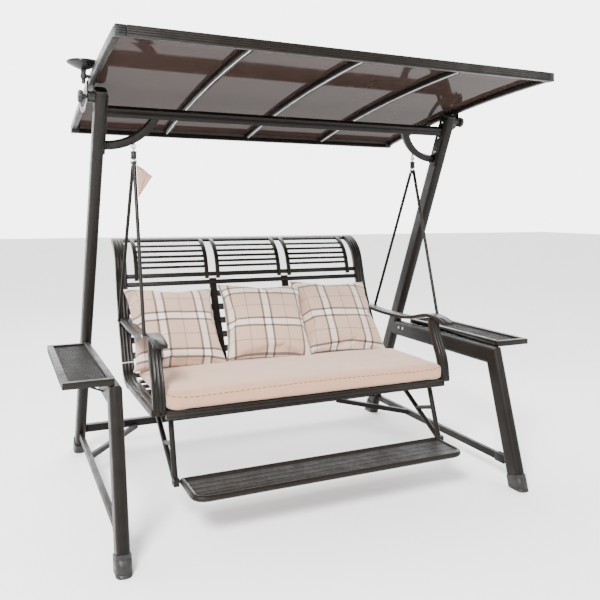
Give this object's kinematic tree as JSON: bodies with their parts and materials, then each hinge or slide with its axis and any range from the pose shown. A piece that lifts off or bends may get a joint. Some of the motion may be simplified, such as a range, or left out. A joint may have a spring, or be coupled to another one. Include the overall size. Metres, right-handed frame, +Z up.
{
  "type": "glider swing",
  "caption": "Three-seat garden glider swing with hung slatted bench, tilting arched canopy, side tables, cushions and folding footrest.",
  "frame": {"origin": "on the floor, centre of the footprint", "axes": "+X along the seat to the sitter's left, -Y to the front, +Z up"},
  "size_m": [2.204, 1.5999, 1.93],
  "materials": {
    "frame": "satin",
    "extrusion": "satin",
    "mesh": "satin",
    "zinc": "satin",
    "black_plastic": "matte",
    "foot_plastic": "matte",
    "panel": "gloss",
    "lamp": "gloss",
    "cushion": "matte",
    "pennant": "matte",
    "plaid": "matte"
  },
  "bodies": {
    "base_frame": {"left_post": "frame", "right_post": "frame", "left_front_leg": "frame", "right_front_leg": "frame", "left_table_arm": "frame", "right_table_arm": "frame", "post_caps": "foot_plastic", "rear_feet": "foot_plastic", "front_feet": "foot_plastic", "rear_crossbar": "frame", "side_braces": "frame", "knee_braces": "frame", "top_crossbar": "frame", "arc_brackets": "frame", "mount_plates": "frame", "eyebolts": "zinc", "table_meshes": "mesh", "table_frames": "frame", "table_stays": "frame", "pivot_bosses": "black_plastic", "frame_bolts": "zinc"},
    "left_knob": {"left_tilt_knob": "black_plastic"},
    "right_knob": {"right_tilt_knob": "black_plastic"},
    "canopy": {"canopy_side_rails": "extrusion", "canopy_front_rail": "extrusion", "canopy_rear_rail": "extrusion", "canopy_corner_caps": "black_plastic", "canopy_dividers": "extrusion", "canopy_panels": "panel", "canopy_hinge_plates": "extrusion", "hinge_bolts": "zinc", "lamp_stem": "black_plastic", "lamp_head": "lamp"},
    "seat": {"left_back_stile": "extrusion", "right_back_stile": "extrusion", "seat_side_rails": "extrusion", "left_armrest": "extrusion", "right_armrest": "extrusion", "arm_supports": "extrusion", "back_top_rail": "extrusion", "back_rails": "extrusion", "back_curved_bars": "extrusion", "back_uprights": "extrusion", "back_upper_slats": "extrusion", "back_lower_slats": "extrusion", "seat_front_rail": "extrusion", "seat_slats": "extrusion", "seat_cushion": "cushion", "left_pillow": "plaid", "middle_pillow": "plaid", "right_pillow": "plaid", "left_hanger": "frame", "right_hanger": "frame", "hook_links": "zinc", "spring_sleeves": "black_plastic", "rod_pennant": "pennant", "hanger_bolts": "zinc", "footrest_brackets": "frame"},
    "footrest": {"footrest_frame": "extrusion", "footrest_slats": "extrusion"}
  },
  "joints": [
    {"name": "swing", "type": "hinge", "parent": "base_frame", "child": "seat", "pos_m": [0, 0.028, 1.5829], "axis": [1, 0, 0], "range_deg": [-15, 15]},
    {"name": "canopy_tilt", "type": "hinge", "parent": "base_frame", "child": "canopy", "pos_m": [0, -0.07, 1.79], "axis": [1, 0, 0], "range_deg": [-12, 12]},
    {"name": "left_knob_turn", "type": "hinge", "parent": "base_frame", "child": "left_knob", "pos_m": [-0.98, -0.07, 1.79], "axis": [1, 0, 0], "range_deg": [0, 360]},
    {"name": "right_knob_turn", "type": "hinge", "parent": "base_frame", "child": "right_knob", "pos_m": [0.98, -0.07, 1.79], "axis": [-1, 0, 0], "range_deg": [0, 360]},
    {"name": "footrest_fold", "type": "hinge", "parent": "seat", "child": "footrest", "pos_m": [0, -0.378, 0.19], "axis": [-1, 0, 0], "range_deg": [0, 80]}
  ]
}
